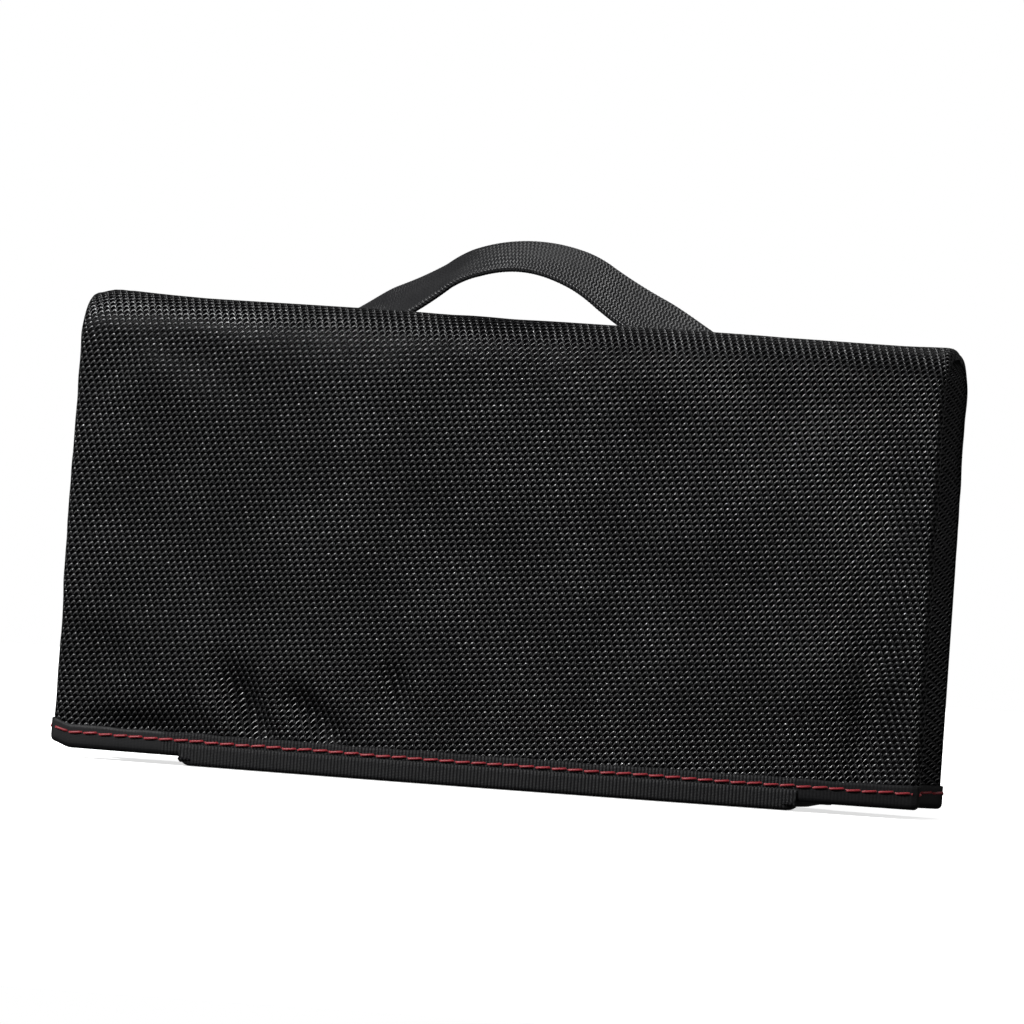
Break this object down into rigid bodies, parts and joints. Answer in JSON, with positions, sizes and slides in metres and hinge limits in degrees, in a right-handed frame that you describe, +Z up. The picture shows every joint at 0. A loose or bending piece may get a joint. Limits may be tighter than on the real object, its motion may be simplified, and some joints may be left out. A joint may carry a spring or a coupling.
{
  "type": "lipo safe bag",
  "caption": "Padded fire-resistant pouch for batteries: creased gussets, tape-bound mouth with red stitching, fold-under hook-and-loop flap, and a webbing carry handle on its closed end.",
  "frame": {"origin": "middle of the bag's width and of the shell's depth, on the flat underside of the closure flap's spine, which the bag stands on", "axes": "+X across the bag to the right seen from its front, -Y towards the front, +Z up to the carry handle"},
  "size_m": [0.24, 0.0635, 0.1485],
  "materials": {
    "shell_cloth": "coarse ballistic weave with a soft sheen",
    "felt_padding": "matt needled felt",
    "glass_fibre_lining": "woven glass cloth, silvery",
    "binding_tape": "fine ribbed tape, matt",
    "red_thread": "twisted thread",
    "webbing": "ribbed webbing, satin",
    "loop_fastener": "brushed loop pile",
    "hook_fastener": "moulded hooks"
  },
  "bodies": {
    "bag": {"outer_wrap": "shell_cloth", "left_gusset": "shell_cloth", "right_gusset": "shell_cloth", "front_padding": "felt_padding", "rear_padding": "felt_padding", "top_padding": "felt_padding", "lining_wrap": "glass_fibre_lining", "left_gusset_lining": "glass_fibre_lining", "right_gusset_lining": "glass_fibre_lining", "front_mouth_tape": "binding_tape", "rear_mouth_tape": "binding_tape", "left_mouth_tape": "binding_tape", "right_mouth_tape": "binding_tape", "front_mouth_stitching": "red_thread", "rear_mouth_stitching": "red_thread", "left_mouth_stitching": "red_thread", "right_mouth_stitching": "red_thread", "handle_left_leg": "webbing", "handle_right_leg": "webbing", "handle_left_stitching": "red_thread", "handle_right_stitching": "red_thread", "loop_strip": "loop_fastener"},
    "flap_spine_body": {"flap_spine": "shell_cloth", "flap_spine_lining": "glass_fibre_lining"},
    "flap_tongue_body": {"flap_tongue": "shell_cloth", "flap_tongue_lining": "glass_fibre_lining", "tongue_tape": "binding_tape", "tongue_stitching": "red_thread", "hook_strip": "hook_fastener"},
    "handle": {"handle_crown": "webbing"}
  },
  "joints": [
    {"name": "flap_spine_fold", "type": "hinge", "parent": "bag", "child": "flap_spine_body", "pos_m": [0, -0.0284, 0.00105], "axis": [-1, 0, 0], "range_deg": [0, 180]},
    {"name": "flap_tongue_fold", "type": "hinge", "parent": "flap_spine_body", "child": "flap_tongue_body", "pos_m": [0, 0.0321, 0.00105], "axis": [-1, 0, 0], "range_deg": [0, 90]},
    {"name": "handle_lean", "type": "hinge", "parent": "bag", "child": "handle", "pos_m": [0, 0, 0.1286], "axis": [1, 0, 0], "range_deg": [-56, 20], "stiffness_Nm_per_rad": 0.01}
  ]
}
